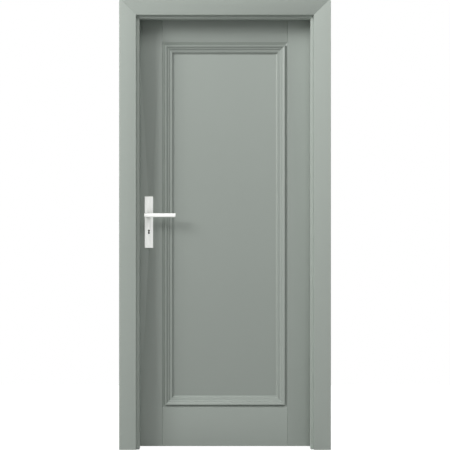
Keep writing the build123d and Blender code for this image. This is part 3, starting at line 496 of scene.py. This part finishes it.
def screwTree():
    tree = bpy.data.node_groups.new("countersunkScrew", "GeometryNodeTree")
    lengths = ("Length", "Shank", "Head", "Core", "Neck", "Turns", "ThreadHeight", "RecessWidth")
    sockets = [("Geometry", "NodeSocketGeometry")]
    sockets += [(name, "NodeSocketFloat") for name in lengths]
    sockets += [("Finish", "NodeSocketMaterial")]
    for name, kind in sockets:
        tree.interface.new_socket(name=name, in_out="INPUT", socket_type=kind)
    tree.interface.new_socket(name="Geometry", in_out="OUTPUT", socket_type="NodeSocketGeometry")
    given = tree.nodes.new("NodeGroupInput").outputs
    link = tree.links.new

    def add(kind, **settings):
        made = tree.nodes.new(kind)
        for key, value in settings.items():
            setattr(made, key, value)
        return made

    def calc(operation, first, second):
        return mathOf(tree, operation, first, second)

    def vector(x=0.0, y=0.0, z=0.0):
        made = add("ShaderNodeCombineXYZ")
        for socket, value in zip(made.inputs, (x, y, z)):
            feed(tree, value, socket)
        return made.outputs[0]

    # The body is a straight line; its radius follows the head's cone, the neck, core and point
    line = add("GeometryNodeCurvePrimitiveLine")
    link(vector(z=calc("MULTIPLY", given["Length"], -1)), line.inputs["End"])
    points = add("GeometryNodeResampleCurve")
    points.inputs["Count"].default_value = screwForm["rings"]
    link(line.outputs[0], points.inputs["Curve"])
    depth = add("GeometryNodeSplineParameter").outputs["Length"]
    onNeck = calc("LESS_THAN", depth, given["Neck"])
    neckStep = calc("MULTIPLY", onNeck, calc("SUBTRACT", given["Shank"], given["Core"]))
    barrel = calc("ADD", given["Core"], neckStep)
    withHead = calc("MAXIMUM", barrel, calc("SUBTRACT", given["Head"], depth))
    left = calc("SUBTRACT", given["Length"], depth)
    slope = calc("MULTIPLY", left, screwForm["pointSlope"])
    point = calc("ADD", slope, screwForm["tipRadius"])
    ring = add("GeometryNodeCurvePrimitiveCircle")
    ring.inputs["Resolution"].default_value = screwForm["sides"]
    ring.inputs["Radius"].default_value = 1
    body = add("GeometryNodeCurveToMesh")
    body.inputs["Fill Caps"].default_value = True
    link(points.outputs[0], body.inputs["Curve"])
    link(calc("MINIMUM", withHead, point), body.inputs["Scale"])
    link(ring.outputs[0], body.inputs["Profile Curve"])

    # Two crossed bars cut the recess
    cut = add("GeometryNodeMeshBoolean", operation="DIFFERENCE", solver="EXACT")
    link(body.outputs[0], cut.inputs["Mesh 1"])
    for narrow in (0, 1):
        bar = add("GeometryNodeMeshCube")
        wide = calc("MULTIPLY", given["Head"], screwForm["barLength"])
        size = [wide, wide, calc("MULTIPLY", given["Head"], screwForm["barDepth"])]
        size[narrow] = given["RecessWidth"]
        link(vector(*size), bar.inputs["Size"])
        link(bar.outputs[0], cut.inputs["Mesh 2"])

    # The thread is a diamond wound round the core
    coil = add("GeometryNodeCurveSpiral")
    coil.inputs["Resolution"].default_value = screwForm["turnSteps"]
    link(given["Turns"], coil.inputs["Rotations"])
    link(given["Core"], coil.inputs["Start Radius"])
    link(given["Core"], coil.inputs["End Radius"])
    link(given["ThreadHeight"], coil.inputs["Height"])
    diamond = add("GeometryNodeCurvePrimitiveCircle")
    diamond.inputs["Resolution"].default_value = 4
    link(calc("SUBTRACT", given["Shank"], given["Core"]), diamond.inputs["Radius"])
    thread = add("GeometryNodeCurveToMesh")
    thread.inputs["Fill Caps"].default_value = True
    link(coil.outputs[0], thread.inputs["Curve"])
    link(diamond.outputs[0], thread.inputs["Profile Curve"])
    threadFoot = calc("ADD", given["Neck"], given["ThreadHeight"])
    lowered = add("GeometryNodeTransform")
    link(thread.outputs[0], lowered.inputs["Geometry"])
    link(vector(z=calc("MULTIPLY", threadFoot, -1)), lowered.inputs["Translation"])
    whole = add("GeometryNodeJoinGeometry")
    link(cut.outputs[0], whole.inputs[0])
    link(lowered.outputs[0], whole.inputs[0])

    # One screw at each place, aimed along its hole and turned by chance
    aim = add("GeometryNodeInputNamedAttribute", data_type="FLOAT_VECTOR")
    aim.inputs["Name"].default_value = "aim"
    aimed = add("FunctionNodeAlignRotationToVector", axis="Z")
    link(aim.outputs["Attribute"], aimed.inputs["Vector"])
    placed = add("GeometryNodeInstanceOnPoints")
    link(given["Geometry"], placed.inputs["Points"])
    link(whole.outputs[0], placed.inputs["Instance"])
    link(aimed.outputs[0], placed.inputs["Rotation"])
    chance = add("FunctionNodeRandomValue", data_type="FLOAT_VECTOR")
    chance.inputs[0].default_value = (0, 0, 0)
    chance.inputs[1].default_value = (0, 0, math.tau)
    chance.inputs["Seed"].default_value = screwForm["seed"]
    turned = add("GeometryNodeRotateInstances")
    link(placed.outputs[0], turned.inputs["Instances"])
    link(chance.outputs[0], turned.inputs["Rotation"])
    real = add("GeometryNodeRealizeInstances")
    link(turned.outputs[0], real.inputs[0])
    finish = add("GeometryNodeSetMaterial")
    link(real.outputs[0], finish.inputs["Geometry"])
    link(given["Finish"], finish.inputs["Material"])
    link(finish.outputs[0], add("NodeGroupOutput").inputs[0])
    return tree


def screwPlaces(nodeName, look):
    # The CAD's own screws say where each one is: every loose solid is one screw
    shape = mergedShape(nodeName)
    waiting = set(shape.verts)
    places = []
    while waiting:
        island = [waiting.pop()]
        for vert in island:
            for edge in vert.link_edges:
                other = edge.other_vert(vert)
                if other in waiting:
                    waiting.remove(other)
                    island.append(other)
        low = Vector([min(v.co[axis] for v in island) for axis in range(3)])
        high = Vector([max(v.co[axis] for v in island) for axis in range(3)])
        middle = (low + high) / 2
        aim = Vector(look["aim"] or (math.copysign(1, middle.x), 0, 0))
        reach = abs((high - low).dot(aim)) / 2
        places.append((middle + aim * reach, aim, 2 * reach))
    shape.free()
    return sorted(places, key=lambda place: tuple(place[0]))


screwNodeTree = screwTree()
screwSockets = {
    item.name: item.identifier
    for item in screwNodeTree.interface.items_tree
    if item.in_out == "INPUT"
}


def threadedScrews(nodeName, look):
    places = screwPlaces(nodeName, look)
    length = places[0][2]
    neck = length * screwForm["plainShare"]
    threadHeight = length * screwForm["threadEnd"] - neck
    mesh = bpy.data.meshes.new(nodeName + "Places")
    mesh.from_pydata([place[0] for place in places], [], [])
    aims = mesh.attributes.new("aim", "FLOAT_VECTOR", "POINT")
    for item, place in zip(aims.data, places):
        item.vector = place[1]
    holder = addObject(nodeName + ".places", mesh)
    winding = holder.modifiers.new("screws", "NODES")
    winding.node_group = screwNodeTree
    values = {
        "Length": length,
        "Shank": look["shank"],
        "Head": look["head"],
        "Core": look["shank"] * screwForm["coreShare"],
        "Neck": neck,
        "Turns": threadHeight / (look["shank"] * screwForm["pitch"]),
        "ThreadHeight": threadHeight,
        "RecessWidth": look["head"] * screwForm["barWidth"],
        "Finish": finishes[slotOf[nodeName]],
    }
    for name, value in values.items():
        winding[screwSockets[name]] = value
    made = plainMesh(holder)
    made.shade_smooth()
    made.set_sharp_from_angle(angle=merging["smoothUnder"])
    placePiece("threaded_" + nodeName, made, nodeName)


for nodeName, look in screwLook.items():
    threadedScrews(nodeName, look)
print("screws wound:", len(screwLook), "sets")


# Studio: a pale floor, a white surround, and large soft lamps on the left, above and behind

def seenRay(tree):
    # 1 where the ray comes from the camera, a mirror or glass
    path = tree.nodes.new("ShaderNodeLightPath").outputs
    first = mathOf(tree, "MAXIMUM", path["Is Camera Ray"], path["Is Glossy Ray"])
    return mathOf(tree, "MAXIMUM", first, path["Is Transmission Ray"])


floorLook = {
    "reach": (4.0, 11.0, 3.5),  # to each side, in front and behind, metres
    "shade": 0.45,
    "glow": 0.93,  # so that the camera sees it nearly white, with the door's shadow
}


def makeFloor():
    side, front, behind = floorLook["reach"]
    mesh = bpy.data.meshes.new("floor")
    corners = [(-side, -front, 0), (side, -front, 0), (side, behind, 0), (-side, behind, 0)]
    mesh.from_pydata(corners, [], [(0, 1, 2, 3)])
    floor = addObject("floor", mesh)
    finish = bpy.data.materials.new("paleFloor")
    finish.use_nodes = True
    tree = finish.node_tree
    tree.nodes.remove(tree.nodes["Principled BSDF"])
    matt = tree.nodes.new("ShaderNodeBsdfDiffuse")
    matt.inputs["Color"].default_value = (*[floorLook["shade"]] * 3, 1)
    glow = tree.nodes.new("ShaderNodeEmission")
    seen = mathOf(tree, "MULTIPLY", seenRay(tree), floorLook["glow"])
    tree.links.new(seen, glow.inputs["Strength"])
    both = tree.nodes.new("ShaderNodeAddShader")
    tree.links.new(matt.outputs[0], both.inputs[0])
    tree.links.new(glow.outputs[0], both.inputs[1])
    tree.links.new(both.outputs[0], tree.nodes["Material Output"].inputs["Surface"])
    mesh.materials.append(finish)


surroundLook = {
    "low": 0.0,
    "high": 0.28,
    "bright": (-0.25, -0.60, 0.75),  # the side that the soft light comes from
    "span": (-0.3, 1),
}


def makeSurround():
    world = bpy.data.worlds.new("studioSurround")
    bpy.context.scene.world = world
    world.use_nodes = True
    tree = world.node_tree
    shade = tree.nodes["Background"]
    shade.inputs["Color"].default_value = (1, 1, 1, 1)
    coords = tree.nodes.new("ShaderNodeTexCoord")
    facing = tree.nodes.new("ShaderNodeVectorMath")
    facing.operation = "DOT_PRODUCT"
    facing.inputs[1].default_value = Vector(surroundLook["bright"]).normalized()
    tree.links.new(coords.outputs["Generated"], facing.inputs[0])
    low, high = surroundLook["low"], surroundLook["high"]
    soft = spread(tree, facing.outputs["Value"], low, high, span=surroundLook["span"])
    strength = tree.nodes.new("ShaderNodeMix")
    tree.links.new(seenRay(tree), strength.inputs[0])
    tree.links.new(soft, strength.inputs[2])
    strength.inputs[3].default_value = 1
    tree.links.new(strength.outputs[0], shade.inputs["Strength"])


lampLooks = {
    "keyLamp": {"place": (-6.5, -4.55, 5.3), "size": 3.4, "power": 550},
    "topLamp": {"place": (1.0, -5.7, 8.0), "size": 3.4, "power": 205},
    "backLamp": {"place": (4.6, 7.4, 5.0), "size": 4.2, "power": 430},
}
lampAim = (0, 0, 1.1)


def softLamp(name, look):
    lamp = bpy.data.lights.new(name, "AREA")
    lamp.shape = "RECTANGLE"
    lamp.size = lamp.size_y = look["size"]
    lamp.energy = look["power"]
    holder = addObject(name, lamp)
    holder.location = look["place"]
    toward = Vector(lampAim) - Vector(look["place"])
    holder.rotation_euler = toward.to_track_quat("-Z", "Y").to_euler()


# Camera: level, straight on, at half the door's height, for a square picture
cameraLook = {
    "place": (0, -9.097, 1.050),
    "pictureHalf": 1.05,  # half the picture's width, at the distance below
    "pictureDistance": 9.0,
    "clipEnd": 60,
}


def makeCamera():
    camera = addObject("camera", bpy.data.cameras.new("camera"))
    camera.location = cameraLook["place"]
    camera.rotation_euler = (math.pi / 2, 0, 0)
    camera.data.sensor_fit = "HORIZONTAL"
    half, distance = cameraLook["pictureHalf"], cameraLook["pictureDistance"]
    camera.data.angle = 2 * math.atan(half / distance)
    camera.data.clip_end = cameraLook["clipEnd"]
    return camera


makeFloor()
makeSurround()
for lampName, look in lampLooks.items():
    softLamp(lampName, look)
bpy.context.scene.camera = makeCamera()
bpy.context.scene.view_settings.view_transform = "Standard"
print("studio set")
